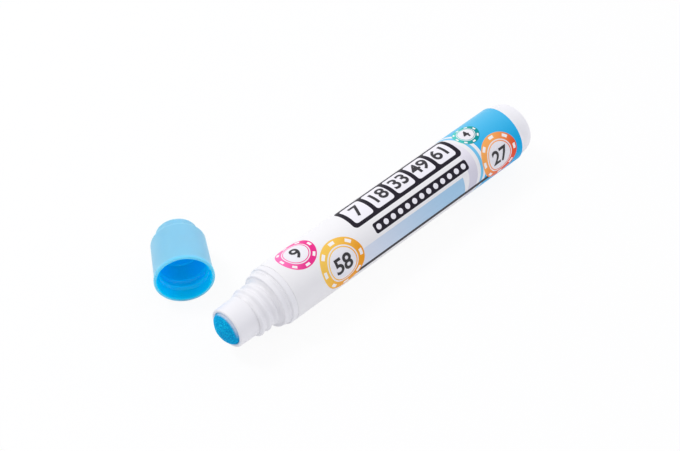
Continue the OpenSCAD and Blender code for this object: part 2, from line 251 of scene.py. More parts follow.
def outward_normals(path, closed):
    """Unit normals of a path in its own plane: the tangent from the point before to the point
    after, turned a quarter, on the side that the signed area says is outside."""
    if closed:
        ahead, behind = np.roll(path, -1, 0), np.roll(path, 1, 0)
    else:
        ahead, behind = np.vstack([path[1:], path[-1:]]), np.vstack([path[:1], path[:-1]])
    tangent = ahead - behind
    normal = np.stack([tangent[:, 1], -tangent[:, 0]], 1)
    after = np.roll(path, -1, 0)
    area = np.sum(path[:, 0] * after[:, 1] - after[:, 0] * path[:, 1])
    return math.copysign(1, area) * normal / np.linalg.norm(normal, axis=1)[:, None]


def turned(name, path, place, sides=SIDES, relief=None, marks=None):
    """A solid turned about an axis: each point of the path, (station, radius), goes round in a
    circle. relief(station, radius, angle) lifts it along the path's own outward normal. A path
    that starts and ends on the axis gets a pole at each end, and any other closes on itself.
    marks are point attributes, one value for each point of the path."""
    on_axis = 1e-9
    poles = path[0, 1] < on_axis and path[-1, 1] < on_axis
    normal = outward_normals(path, not poles)
    rows = slice(1, -1) if poles else slice(None)
    station, radius = path[rows, 0][:, None], path[rows, 1][:, None]
    angle = np.arange(sides)[None, :] * 2 * math.pi / sides
    lift = relief(station, radius, angle) if relief else np.zeros((len(station), sides))
    s = station + normal[rows, 0][:, None] * lift
    r = radius + normal[rows, 1][:, None] * lift
    o, along, up, side = (np.array(v, float) for v in place)
    grid = o + s[..., None] * along + r[..., None] * (
        np.cos(angle)[..., None] * up + np.sin(angle)[..., None] * side)
    count = len(station)
    index = np.arange(count * sides).reshape(count, sides)
    here, over = (index[:-1], index[1:]) if poles else (index, np.roll(index, -1, 0))
    quads = np.stack([here, np.roll(here, -1, 1), np.roll(over, -1, 1), over], -1).reshape(-1, 4)
    points, faces = grid.reshape(-1, 3), quads.tolist()
    if poles:
        tips = o + path[[0, -1], 0][:, None] * along
        if relief:
            tips = tips + along * (normal[[0, -1], 0] * lift[[0, -1]].mean(1))[:, None]
        points = np.vstack([points, tips])
        first, last = index[0], index[-1]
        faces += np.stack([np.roll(first, -1), first, np.full(sides, count * sides)], -1).tolist()
        faces += np.stack([last, np.roll(last, -1), np.full(sides, count * sides + 1)], -1).tolist()
    values = {}
    for key, mark in (marks or {}).items():
        row = np.repeat(np.asarray(mark, float)[rows], sides)
        values[key] = np.concatenate([row, [mark[0], mark[-1]]]) if poles else row
    return solid(name, points, faces, values)


def solid(name, points, faces, values=None):
    """An object from points and faces, turned right side out if its signed volume is negative."""
    mesh = bpy.data.meshes.new(name)
    mesh.from_pydata(points.tolist(), [], faces)
    volume = 0.0
    for corners in (3, 4):
        some = np.array([f for f in faces if len(f) == corners])
        for i in range(1, corners - 1 if len(some) else 0):
            a, b, c = points[some[:, 0]], points[some[:, i]], points[some[:, i + 1]]
            volume += np.einsum("ij,ij->i", a, np.cross(b, c)).sum()
    if volume < 0:
        mesh.flip_normals()
    for key, value in (values or {}).items():
        mark = mesh.attributes.new(key, "FLOAT", "POINT")
        mark.data.foreach_set("value", value.astype(np.float32))
    mesh.polygons.foreach_set("use_smooth", np.ones(len(mesh.polygons), bool))
    mesh.update()
    obj = bpy.data.objects.new(name, mesh)
    bpy.context.scene.collection.objects.link(obj)
    return obj


def eased(x):
    """A smooth step from 0 to 1 as x goes from 0 to 1."""
    x = np.clip(x, 0, 1)
    return x * x * (3 - 2 * x)


def helix_ridge(station, angle, start, turns, phase):
    """Height share, from 0 to 1, of a right-hand ridge that starts at a station and a phase angle
    and climbs one pitch a turn. Across the ridge it eases from root to crest, and at both ends it
    fades and narrows."""
    height = np.zeros(np.broadcast(station, angle).shape)
    sweep = 2 * math.pi * turns
    for lap in range(-1, math.ceil(turns) + 1):
        travel = (angle - phase) % (2 * math.pi) + 2 * math.pi * lap
        grown = np.clip(np.minimum(travel, sweep - travel) / thread_fade, 0, 1)
        narrow = thread_end_width + (1 - thread_end_width) * grown
        off = np.abs(station - start - thread_pitch * travel / (2 * math.pi))
        flank_w = (thread_root_half - thread_crest_half) * narrow
        flank = (thread_root_half * narrow - off) / flank_w
        height = np.maximum(height, eased(flank) * grown)
    return height


# The dauber's visible pieces


def bottle_piece():
    """The blow-moulded bottle: from the middle of the push-up round the foot and the heel, along
    the barrel, over the bead, groove, collar and seat to the neck, and back inside."""
    x_base = dauber_len
    arc = np.radians(np.linspace(90, 0, 14))
    pushup = [(x_base - pushup_depth * math.sin(a), foot_in_r * math.cos(a), 0) for a in arc[:-1]]
    inner_push = [(x_base - bottle_wall - pushup_depth * math.sin(a), foot_in_r * math.cos(a), 0)
                  for a in arc[::-1][1:]]
    heel_w = heel_r - foot_out_r
    heel = [(x_base - heel_len * (1 - math.sin(a)), foot_out_r + heel_w * math.cos(a), 0)
            for a in arc]
    groove_len = x_bead - x_groove
    outside = [
        (x_base, foot_in_r, 0.25 * mm),
        *heel,
        (x_label_end + 0.15 * mm, skin_r, 0.6 * mm),
        (x_label, skin_r, 0.05 * mm),
        (x_bead_end, bead_r, 0.3 * mm),
        (x_bead + 0.15 * mm, bead_r, 0.35 * mm),
        (x_bead, groove_r, 0.2 * mm),
        (x_groove + groove_len / 2, groove_r, 0.2 * mm),
        (x_groove + 0.1 * mm, collar_back_r, 0.3 * mm),
        (x_collar_bend, collar_bend_r, 1 * mm),
        (x_seat, collar_r, 0.45 * mm),
        (x_seat, seat_in_r, 0.35 * mm),
        (x_seat - seat_slope, neck_r, 0.8 * mm),
        (x_land + 0.8 * mm, neck_r, 0.4 * mm),
        (x_land, nose_back_r + 0.03 * mm, 0.05 * mm),
        (x_land, neck_bore_r, 0.05 * mm),
    ]
    inside = [
        (x_plug_end + cage_lip_t, neck_bore_r, 0.8 * mm),
        (x_label, skin_r - bottle_wall, 2 * mm),
        (x_base - heel_len, heel_r - bottle_wall, 2 * mm),
        (x_base - bottle_wall, foot_out_r, 1.5 * mm),
        (x_base - bottle_wall, foot_in_r, 0.2 * mm),
    ]

    def spacing(station, radius):
        if radius < neck_bore_r + 0.1 * mm or station > x_bead_end + 1 * mm:
            return plain_step
        return neck_step if station < x_seat else collar_step

    path = stepped(rounded(pushup + outside + inside + inner_push), spacing)
    from_bore = np.hypot(path[:, 0] - x_land, path[:, 1] - neck_bore_r)
    outer = np.arange(len(path)) < np.argmin(from_bore)

    def thread(station, radius, angle):
        share = helix_ridge(station, angle, neck_thread_at, neck_thread_turns, neck_thread_from)
        on_neck = outer[1:-1][:, None] & (station > x_land + 0.05 * mm) & (station < x_seat)
        lift = neck_thread_high * share - np.maximum(0, radius - neck_r)
        return np.where(on_neck, np.maximum(0, lift), 0)

    return turned("bottle_blown", path, dauber_place(), sides=FINE_SIDES, relief=thread)


def nose_piece():
    """The moulded nose: its rim, the tapering outside down to the neck, the plug, and back through
    the chamber, the orifice and the foam's cup."""
    plug_r = neck_bore_r - fit_gap
    corners = [
        (x_web, cup_r, 0),
        (0, cup_r, 0.22 * mm),
        (0, nose_r, 0.4 * mm),
        (x_land, nose_back_r, 0.06 * mm),
        (x_land, plug_r, 0.1 * mm),
        (x_plug_end, plug_r, 0.4 * mm),
        (x_plug_end, chamber_r, 0.1 * mm),
        (x_web_back, chamber_r, 0.2 * mm),
        (x_web_back, orifice_r, 0.1 * mm),
        (x_web, orifice_r, 0.1 * mm),
        (x_web, cup_r, 0),
    ]
    path = stepped(rounded(corners), 0.4 * mm)[:-1]
    # The tint round the cup's edge is partly ink and partly painted shade.
    from_edge = np.hypot(path[:, 0] - 0.4 * mm, path[:, 1] - cup_r)
    tint = np.clip(1.1 - from_edge / tint_reach, 0, 1)
    return turned("nose_moulded", path, dauber_place(), marks={"ink_and_shade_tint": tint})


def foam_piece():
    """The foam: a dome whose arc runs through its crown and its edge, which is worn soft and drawn
    in, with open cells pressed in. Each cell is a round pit, deepest in its middle, at a seeded
    random place."""
    rise = foam_proud - foam_edge
    dome_r = (foam_edge_r ** 2 + rise ** 2) / (2 * rise)
    half = math.asin(foam_edge_r / dome_r)
    arc = np.linspace(0, half, 96)
    dome = np.stack([dome_r * (1 - np.cos(arc)) - foam_proud, dome_r * np.sin(arc)], 1)
    side = rounded([
        (-foam_edge, foam_edge_r, 0),
        (0.1 * mm, foam_rim_r, 0.4 * mm),
        (foam_back, foam_r, 0.3 * mm),
        (foam_back, 0, 0),
    ])
    path = stepped(np.vstack([dome, side[1:]]), foam_step)
    worn = np.hypot(path[:, 0] + foam_edge, path[:, 1] - foam_edge_r) < foam_worn
    for _ in range(foam_smoothings):
        path[1:-1] = np.where(worn[1:-1, None], (path[:-2] + path[2:]) / 2, path[1:-1])
    rng = np.random.default_rng(foam_seed)
    at_r = foam_r * np.sqrt(rng.random(foam_cells))
    at_a = rng.random(foam_cells) * 2 * math.pi
    cx, cy = at_r * np.cos(at_a), at_r * np.sin(at_a)
    size = rng.uniform(*foam_cell_r, foam_cells) * mm
    deep = rng.uniform(*foam_cell_deep, foam_cells) * mm

    def pores(station, radius, angle):
        x, y = (radius * np.cos(angle)).ravel(), (radius * np.sin(angle)).ravel()
        low = np.zeros(len(x))
        blocks = 40
        for block in np.array_split(np.arange(len(x)), blocks):
            off = np.hypot(x[block, None] - cx, y[block, None] - cy) / size
            low[block] = np.max(deep * eased(1 - off), axis=1)
        wave = foam_wave * np.sin(x / (0.9 * mm) + 1.3) * np.cos(y / (0.8 * mm))
        front = np.broadcast_to(station < 0.4 * mm, (len(station), angle.shape[1])).ravel()
        return np.where(front, wave - low, 0).reshape(len(station), -1)

    pale = eased((path[:, 0] + foam_edge + 0.15 * mm) / (0.75 * mm))
    marks = {"pale": pale}
    return turned("foam_dome", path, dauber_place(), sides=FINE_SIDES, relief=pores, marks=marks)


def label_piece():
    """The film label: a thin sleeve, a little lower than its own overlap along the back."""
    under = barrel_r - label_t
    x_middle = x_label + 50 * mm
    corners = [
        (x_middle, under, 0),
        (x_label, under, 0.02 * mm),
        (x_label, barrel_r, 0.05 * mm),
        (x_label_end, barrel_r, 0.05 * mm),
        (x_label_end, under, 0.02 * mm),
        (x_middle, under, 0),
    ]
    path = stepped(rounded(corners), 1 * mm)[:-1]

    def overlap(station, radius, angle):
        arc = np.abs((angle - lap_at + math.pi) % (2 * math.pi) - math.pi) * barrel_r
        return -lap_drop * eased((arc - lap_half) / lap_edge) * (radius > under + lap_drop)

    return turned("label_film", path, dauber_place(), sides=FILM_SIDES, relief=overlap)


def cap_piece():
    """The cap: from the middle of its closed end down the crown, shoulder and skirt to the lip,
    and back up inside past the thread and the ring that seals on the nose."""
    in_mouth_r, in_shoulder_r = cap_skirt_r - cap_wall, cap_shoulder_r - cap_wall
    in_crown_r = crown_top_r - cap_wall
    h_in = h_shoulder - cap_wall / 2
    slope = (h_crown - h_shoulder) / (cap_shoulder_r - crown_r)
    ring_in, ring_out = nose_r + slide_gap, nose_r + slide_gap + seal_ring_wall

    def on_slope(radius):
        return h_in + (in_shoulder_r - radius) * slope

    ring_tip = on_slope(ring_out) - seal_ring_len
    outside = [
        (cap_len, 0, 0),
        (cap_len, crown_top_r - crown_bevel, 0.25 * mm),
        (cap_len - crown_bevel, crown_top_r, 0.3 * mm),
        (h_crown, crown_r, 0.5 * mm),
        (h_shoulder, cap_shoulder_r, 0.8 * mm),
        (cap_lip_len + 0.3 * mm, cap_skirt_r, 0.2 * mm),
        (cap_lip_len, cap_lip_r, 0.2 * mm),
        (0, cap_lip_r, 0.25 * mm),
        (0, in_mouth_r + 0.25 * mm, 0.15 * mm),
    ]
    inside = [
        (0.25 * mm, in_mouth_r, 0.15 * mm),
        (h_in, in_shoulder_r, 0.4 * mm),
        (on_slope(ring_out), ring_out, 0.15 * mm),
        (ring_tip, ring_out, 0.12 * mm),
        (ring_tip, ring_in + 0.25 * mm, 0.08 * mm),
        (ring_tip + 0.25 * mm, ring_in, 0.08 * mm),
        (on_slope(ring_in), ring_in, 0.1 * mm),
        (on_slope(in_crown_r), in_crown_r, 0.2 * mm),
        (cap_len - cap_wall, in_crown_r, 0.4 * mm),
        (cap_len - cap_wall, 0, 0),
    ]

    def spacing(station, radius):
        threaded = station < ring_tip and ring_out < radius < in_mouth_r + 0.05 * mm
        return cap_thread_step if threaded else cap_step

    path = stepped(rounded(outside + inside), spacing)
    lip = int(np.argmin(path[:, 0] + (path[:, 1] > in_mouth_r + 0.3 * mm)))
    within = np.arange(len(path)) >= lip
    root = in_mouth_r - (in_mouth_r - in_shoulder_r) * cap_thread_at / h_in

    def thread(station, radius, angle):
        share = helix_ridge(station, angle, cap_thread_at, cap_thread_turns, cap_thread_from)
        skirt = (station > 0.4 * mm) & (station < ring_tip) & (radius > ring_out)
        wall = within[1:-1][:, None] & skirt
        return np.where(wall, np.maximum(0, radius - root + cap_thread_high * share), 0)

    marks = {"inside": within, "depth": np.clip(path[:, 0] / cap_len, 0, 1)}
    return turned("cap_moulded", path, cap_place(), sides=FINE_SIDES, relief=thread, marks=marks)


# The label's print, in millimetres: along from the label's front edge, and round from the top
# towards -Y, which is the side that the photograph shows below the barrel's middle

PRINT_SIZE = {
    "tiles_at": 31.0, "tile_pitch": 9.4, "tile_count": 5, "tile_half": 3.9, "tile_corner": 1.0,
    "tiles_round": -1.6, "tile_half_round": 4.3, "tiles_margin": 0.8, "tiles_margin_round": 1.3,
    "panel_corner": 1.6, "tile_number": 5.2,
    "dots_at": 36.0, "dot_pitch": 3.2, "dot_count": 13, "dots_round": 7.4, "dot_r": 0.96,
    "strip_margin": 0.3, "strip_half": 1.8, "strip_corner": 0.8,
    "slant_high": 4.5, "slant_turn": 0.7,
}
PRINT_BANDS = {
    # from, to
    "pale_round": (10.4, 16.4), "pale_along": (16.0, 74.0), "pale_fade": (14.0, 76.0),
    "rule_round": (16.4, 18.0), "rule_along": (18.0, 97.0),
    "stripe": (72.5, 76.5), "line": (78.0, 79.2), "sky_edge": (80.36, 80.44),
}
COUNTERS = [
    # along, round, radius, number, light colour, deep colour
    (9.6, -1.5, 6.6, "9", (255, 120, 185), (236, 50, 140)),
    (20.3, 10.6, 8.6, "58", (252, 204, 92), (243, 160, 36)),
    (91.2, 11.8, 8.0, "27", (255, 176, 96), (240, 84, 48)),
    (85.6, -1.4, 4.6, "4", (84, 205, 196), (0, 148, 150)),
]
TILES = ["7", "18", "33", "49", "61"]

# How soft the print's edges are, in millimetres on either side
PRINT_SOFT = 0.04

# A number's height in a counter, as a share of the counter's radius, and how much taller one that
# has a single digit is. The plates stand from just under the film to a hair above it
COUNTER_NUMBER = 0.62
SINGLE_DIGIT = 1.15
number_sink = 0.02 * mm
number_t = 0.028 * mm

# The built-in font's size for digits of height 1, and how much bolder and closer they are set
FONT_SIZE = 1.37
FONT_BOLDER = 0.028
FONT_CLOSER = 0.96


def number_cut(text, height):
    """Triangles of a number in its own plane, in millimetres, as a closed plate with cuts across
    its height close enough together to bend round the barrel. Its upper face is above zero and
    its lower face below."""
    curve = bpy.data.curves.new("number", "FONT")
    curve.body = text
    curve.size = height * FONT_SIZE
    curve.align_x, curve.align_y = "CENTER", "CENTER"
    curve.offset = height * FONT_BOLDER
    curve.extrude = 0.5
    curve.space_character = FONT_CLOSER
    holder = bpy.data.objects.new("number", curve)
    bpy.context.scene.collection.objects.link(holder)
    flat = holder.evaluated_get(bpy.context.evaluated_depsgraph_get()).to_mesh()
    cut = bmesh.new()
    cut.from_mesh(flat)
    weld, cut_step = 1e-5, 0.3
    bmesh.ops.remove_doubles(cut, verts=cut.verts, dist=weld)
    tall = [v.co.y for v in cut.verts]
    for level in np.arange(min(tall) + cut_step / 2, max(tall), cut_step):
        geometry = cut.verts[:] + cut.edges[:] + cut.faces[:]
        bmesh.ops.bisect_plane(cut, geom=geometry, plane_co=(0, level, 0), plane_no=(0, 1, 0))
    bmesh.ops.triangulate(cut, faces=cut.faces[:])
    cut.verts.index_update()
    points = np.array([v.co[:] for v in cut.verts])
    points[:, 1] -= (min(tall) + max(tall)) / 2
    faces = np.array([[v.index for v in f.verts] for f in cut.faces])
    cut.free()
    holder.to_mesh_clear()
    bpy.data.objects.remove(holder)
    return points, faces


def numbers_piece():
    """The plain numbers of the print: thin plates bent round the barrel, a hair proud of it."""
    size = PRINT_SIZE
    places = []
    for along, around, radius, text, _, _ in COUNTERS:
        taller = 1.0 if len(text) > 1 else SINGLE_DIGIT
        places.append((text, along, around, COUNTER_NUMBER * radius * taller))
    for i, text in enumerate(TILES):
        along = size["tiles_at"] + (i + 0.5) * size["tile_pitch"]
        places.append((text, along, size["tiles_round"], size["tile_number"]))
    o = np.array(dauber_place().origin)
    all_points, all_faces, count = [], [], 0
    for text, along, around, height in places:
        points, faces = number_cut(text, height)
        angle = (around - points[:, 1]) * mm / barrel_r
        radius = barrel_r - number_sink + number_t * (points[:, 2] > 0)
        x = o[0] + x_label + (along + points[:, 0]) * mm
        y, z = o[1] - radius * np.sin(angle), o[2] + radius * np.cos(angle)
        all_points.append(np.stack([x, y, z], 1))
        all_faces.append(faces + count)
        count += len(points)
    piece = solid("label_numbers", np.vstack(all_points), np.vstack(all_faces).tolist())
    piece.data.polygons.foreach_set("use_smooth", np.zeros(len(piece.data.polygons), bool))
    return piece


# Materials: a small arithmetic on sockets, so that a pattern reads as its formula

# The sockets of a Mix node in its colour mode
MIX_SHARE, MIX_FIRST, MIX_SECOND, MIX_RESULT = 0, 6, 7, 2

# No light, and a faint painted glow: light through the cap's wall, and from the table on the foam
no_glow = (0, 0, 0, 1)
painted_glow = (0, 0.13, 0.13, 1)

# White moulded plastic as a screen colour, and how deep the grain and waves of any plastic are
plastic_white = (241, 240, 242)
skin_relief = 0.02 * mm


def colour(red, green, blue):
    """A screen colour, 0 to 255, as the linear one that a shader takes."""
    c = np.array([red, green, blue]) / 255
    linear = np.where(c <= 0.04045, c / 12.92, ((c + 0.055) / 1.055) ** 2.4)
    return (*linear.tolist(), 1.0)


def feed(tree, socket, value):
    """Links a wire to a socket, or sets the socket's own value."""
    if isinstance(value, Wire):
        tree.links.new(value.socket, socket)
    else:
        socket.default_value = value


class Wire:
    """An output socket whose arithmetic adds Math nodes to its tree."""

    def __init__(self, tree, socket):
        self.tree, self.socket = tree, socket

    def math(self, kind, *others):
        node = self.tree.nodes.new("ShaderNodeMath")
        node.operation = kind
        for socket, value in zip(node.inputs, (self, *others)):
            feed(self.tree, socket, value)
        return Wire(self.tree, node.outputs[0])

    def __add__(self, other):
        return self.math("ADD", other)

    def __sub__(self, other):
        return self.math("SUBTRACT", other)

    def __mul__(self, other):
        return self.math("MULTIPLY", other)

    def __truediv__(self, other):
        return self.math("DIVIDE", other)

    def inverse(self):
        return (self * -1.0) + 1.0

    def rise(self, low, high):
        """A smooth step from 0 at low to 1 at high."""
        node = self.tree.nodes.new("ShaderNodeMapRange")
        node.interpolation_type = "SMOOTHSTEP"
        for socket, value in zip(node.inputs, (self, low, high)):
            feed(self.tree, socket, value)
        return Wire(self.tree, node.outputs[0])

    def between(self, low, high, soft=PRINT_SOFT):
        """1 from low to high, with soft edges, and 0 outside."""
        return self.rise(low - soft, low + soft) * self.rise(high - soft, high + soft).inverse()


def mixed(share, first, second):
    """A colour from first, where share is 0, to second, where it is 1."""
    node = share.tree.nodes.new("ShaderNodeMix")
    node.data_type = "RGBA"
    feed(share.tree, node.inputs[MIX_SHARE], share)
    feed(share.tree, node.inputs[MIX_FIRST], first)
    feed(share.tree, node.inputs[MIX_SECOND], second)
    return Wire(share.tree, node.outputs[MIX_RESULT])


def object_point(tree):
    """The place of the shaded point in the shared frame, in metres."""
    node = tree.nodes.new("ShaderNodeTexCoord")
    return Wire(tree, node.outputs["Object"])


def coordinates(point):
    """The three parts of a point, as wires."""
    node = point.tree.nodes.new("ShaderNodeSeparateXYZ")
    feed(point.tree, node.inputs[0], point)
    return [Wire(point.tree, s) for s in node.outputs]


def noise(point, size, detail=2.0, rough=0.5):
    """Fractal noise, 0 to 1, whose coarsest lumps are size across, in metres."""
    node = point.tree.nodes.new("ShaderNodeTexNoise")
    feed(point.tree, node.inputs["Vector"], point)
    node.inputs["Scale"].default_value = 1 / size
    node.inputs["Detail"].default_value = detail
    node.inputs["Roughness"].default_value = rough
    return Wire(point.tree, node.outputs[0])


def cells(point, size):
    """Distance to the nearest cell, as a share of a cell's size."""
    node = point.tree.nodes.new("ShaderNodeTexVoronoi")
    node.feature = "F1"
    feed(point.tree, node.inputs["Vector"], point)
    node.inputs["Scale"].default_value = 1 / size
    return Wire(point.tree, node.outputs["Distance"])


def painted_mark(tree, name):
    """A point attribute of the mesh, as a wire."""
    node = tree.nodes.new("ShaderNodeAttribute")
    node.attribute_name = name
    return Wire(tree, node.outputs["Fac"])


def new_group(name, inputs, outputs):
    """An empty node group with named sockets: its tree, its input wires, and its output node."""
    tree = bpy.data.node_groups.new(name, "ShaderNodeTree")
    for kind, rows in (("INPUT", inputs), ("OUTPUT", outputs)):
        for label, socket, *default in rows:
            made = tree.interface.new_socket(label, in_out=kind, socket_type="NodeSocket" + socket)
            if default:
                made.default_value = default[0]
    entry, leave = tree.nodes.new("NodeGroupInput"), tree.nodes.new("NodeGroupOutput")
    return tree, [Wire(tree, s) for s in entry.outputs if s.name], leave


def placed(tree, group, **values):
    """A group placed in a tree with its own values: its outputs by name."""
    node = tree.nodes.new("ShaderNodeGroup")
    node.node_tree = group
    for key, value in values.items():
        feed(tree, node.inputs[key.replace("_", " ")], value)
    return {s.name: Wire(tree, s) for s in node.outputs}


def moulded_skin_group():
    """The skin of moulded plastic: slow waves from cooling, fine grain, and a few faint rubs that
    are a little smoother."""
    tree, (grain, wave, rough), leave = new_group(
        "moulded_skin",
        [("grain", "Float", 1.0), ("wave", "Float", 1.0), ("rough", "Float", 0.4)],
        [("tone", "Float"), ("roughness", "Float"), ("height", "Float")])
    point = object_point(tree)
    slow = noise(point, 6 * mm, 1.0)
    fine = noise(point, 0.22 * mm, 3.0, 0.6)
    rubs = noise(point, 1.6 * mm, 4.0, 0.7).rise(0.58, 0.72)
    feed(tree, leave.inputs["tone"], (slow - 0.5) * 0.05 + (fine - 0.5) * 0.03 + 1.0)
    feed(tree, leave.inputs["roughness"], rough + (fine - 0.5) * 0.12 - rubs * 0.07)
    feed(tree, leave.inputs["height"], (slow * wave) + (fine * grain))
    return tree


def new_material(name):
    """A material with only a Principled shader, and that shader."""
    material = bpy.data.materials.new(name)
    material.use_nodes = True
    tree = material.node_tree
    tree.nodes.clear()
    shader = tree.nodes.new("ShaderNodeBsdfPrincipled")
    leave = tree.nodes.new("ShaderNodeOutputMaterial")
    tree.links.new(shader.outputs[0], leave.inputs[0])
    return material, tree, shader


def surface(tree, shader, hue, rough, height, relief, strength):
    """Gives a shader its colour and roughness, and a share, its strength, of the tilt of a surface
    that rises by relief for a height of 1."""
    feed(tree, shader.inputs["Base Color"], hue)
    feed(tree, shader.inputs["Roughness"], rough)
    node = tree.nodes.new("ShaderNodeBump")
    node.inputs["Strength"].default_value = strength
    node.inputs["Distance"].default_value = relief
    feed(tree, node.inputs["Height"], height)
    tree.links.new(node.outputs[0], shader.inputs["Normal"])


def glow_faintly(tree, shader, share):
    """A faint painted glow, standing for light, where share is 1."""
    feed(tree, shader.inputs["Emission Color"], mixed(share, no_glow, painted_glow))
    shader.inputs["Emission Strength"].default_value = 1


def toned(hue, tone):
    """A colour made a little lighter or darker by a tone near 1."""
    node = tone.tree.nodes.new("ShaderNodeVectorMath")
    node.operation = "SCALE"
    if isinstance(hue, Wire):
        feed(tone.tree, node.inputs[0], hue)
    else:
        node.inputs[0].default_value = hue[:3]
    feed(tone.tree, node.inputs["Scale"], tone)
    return Wire(tone.tree, node.outputs[0])


def plastic(name, hue, skin, rough=0.4):
    """Plain moulded plastic in one colour."""
    material, tree, shader = new_material(name)
    part = placed(tree, skin, grain=1.0, wave=1.0, rough=rough)
    hue = toned(colour(*hue), part["tone"])
    surface(tree, shader, hue, part["roughness"], part["height"], skin_relief, 0.35)
    return material


def nose_plastic(skin):
    """White plastic, tinted blue inside the cup's edge: partly ink, and partly painted shade."""
    material, tree, shader = new_material("nose_plastic")
    part = placed(tree, skin, grain=0.8, wave=0.8, rough=0.38)
    blotch = noise(object_point(tree), 0.9 * mm, 3.0).rise(0.25, 0.7) * 0.4 + 0.6
    # Partly ink stain, partly painted shade round the cup's edge
    tint = painted_mark(tree, "ink_and_shade_tint") * blotch
    hue = mixed(tint, colour(*plastic_white), colour(178, 209, 238))
    hue = toned(hue, part["tone"])
    surface(tree, shader, hue, part["roughness"], part["height"], skin_relief, 0.35)
    return material


def cap_plastic(skin):
    """Light-blue plastic that lets light through. Its outside is a pale copy of its colour and its
    inside a deeper copy, as painted light, and painted shade deepens the inside towards the closed
    end. The crown's edge is palest in patches, partly rubbed and partly a painted highlight.
    Inside, a faint painted glow stands for the light that comes through its wall."""
    material, tree, shader = new_material("cap_plastic")
    part = placed(tree, skin, grain=1.0, wave=1.2, rough=0.36)
    inside, depth = painted_mark(tree, "inside"), painted_mark(tree, "depth")
    # Painted light: a deeper copy inside, darker as painted shade towards the closed end
    inner = mixed(depth.rise(0.0, 0.55), colour(0, 190, 246), colour(0, 152, 242))
    # and a paler copy outside, bluer at the lip
    outer = mixed(depth.rise(0.0, 0.09), colour(119, 208, 247), colour(139, 201, 225))
    # Partly rubbed plastic, partly a painted highlight: pale patches on the crown's edge
    edge = depth.rise(0.92, 0.98) * depth.rise(0.985, 0.999).inverse()
    worn = noise(object_point(tree), 1.5 * mm, 3.0).rise(0.3, 0.7) * edge
    outer = mixed(worn * 0.7, outer, colour(176, 210, 228))
    hue = toned(mixed(inside, outer, inner), part["tone"])
    surface(tree, shader, hue, part["roughness"], part["height"], skin_relief, 0.4)
    glow_faintly(tree, shader, inside)
    shader.inputs["Specular IOR Level"].default_value = 0.2
    shader.inputs["Subsurface Weight"].default_value = 1
    shader.inputs["Subsurface Radius"].default_value = (1, 1, 1)
    shader.inputs["Subsurface Scale"].default_value = 2 * mm
    return material


def wet_foam():
    """Open-cell foam soaked with blue ink: cell walls catch light, cells are dark, the ink lies
    unevenly, and the upper side above the rim is paler, most of all a little towards -Y. Its low
    side glows faintly with light from the table."""
    material, tree, shader = new_material("wet_foam")
    point = object_point(tree)
    cell, fine = cells(point, 0.38 * mm), cells(point, 0.2 * mm)
    wall = cell.rise(0.15, 0.75) * 0.7 + fine.rise(0.2, 0.8) * 0.3
    wet = noise(point, 0.6 * mm, 4.0, 0.7).rise(0.36, 0.64)
    hue = mixed(wall, colour(0, 132, 207), colour(26, 220, 255))
    hue = mixed(wet * 0.9, hue, colour(0, 148, 216))
    _, y, z = coordinates(point)
    out, up = y - dauber_place().origin[1], z - barrel_r
    upper = (up * 0.97 - out * 0.26).rise(1 * mm, 5 * mm)
    pale = painted_mark(tree, "pale") * upper
    hue = mixed(pale * 0.95, hue, colour(214, 222, 236))
    surface(tree, shader, hue, wall * 0.25 + 0.45, wall, 0.12 * mm, 0.8)
    glow_faintly(tree, shader, (out - up).rise(-0.5 * mm, 6.5 * mm))
    shader.inputs["Specular IOR Level"].default_value = 0.03
    return material


def rounded_tile_group():
    """Inside of a rounded rectangle: the distance from a point to its edge, from how far the point
    lies past the rectangle that is smaller by the corner's radius."""
    tree, (x, y, half_x, half_y, corner), leave = new_group(
        "rounded_tile",
        [("x", "Float"), ("y", "Float"), ("half x", "Float", 4.0), ("half y", "Float", 4.0),
         ("corner", "Float", 1.0)],
        [("mask", "Float")])
    past_x = x.math("ABSOLUTE") - half_x + corner
    past_y = y.math("ABSOLUTE") - half_y + corner
    out_x, out_y = past_x.math("MAXIMUM", 0.0), past_y.math("MAXIMUM", 0.0)
    away = (out_x * out_x + out_y * out_y).math("SQRT")
    within = past_x.math("MAXIMUM", past_y).math("MINIMUM", 0.0)
    outside = (away + within - corner).rise(-PRINT_SOFT, PRINT_SOFT)
    feed(tree, leave.inputs["mask"], outside.inverse())
    return tree


def counter_group():
    """A round game counter: a coloured rim with eight pale notches, and a white middle in which
    there is a fine coloured ring. Its lines lie at shares of its radius."""
    tree, (x, y, radius, light, deep), leave = new_group(
        "counter",
        [("x", "Float"), ("y", "Float"), ("radius", "Float", 6.0),
         ("light", "Color"), ("deep", "Color")],
        [("colour", "Color"), ("mask", "Float")])
    away = (x * x + y * y).math("SQRT") / radius
    notches = 8.0
    spoke = y.math("ARCTAN2", x) * notches
    notch = spoke.math("COSINE").rise(0.35, 0.5) * away.between(0.8, 0.93, 0.01)
    shade = ((x + y) / radius).rise(-1.1, 1.1)
    hue = mixed(shade, light, deep)
    hue = mixed(notch, hue, colour(250, 248, 246))
    ring = away.between(0.6, 0.645, 0.008)
    centre = away.rise(0.69, 0.706).inverse()
    hue = mixed(centre, hue, colour(240, 238, 242))
    hue = mixed(ring, hue, mixed(shade, light, deep))
    feed(tree, leave.inputs["colour"], hue)
    feed(tree, leave.inputs["mask"], away.rise(0.994, 1.006).inverse())
    return tree


def repeated(wire, pitch):
    """How far a place is from the middle of its own step, where steps of one pitch follow."""
    return wire.math("FLOORED_MODULO", pitch) - pitch / 2


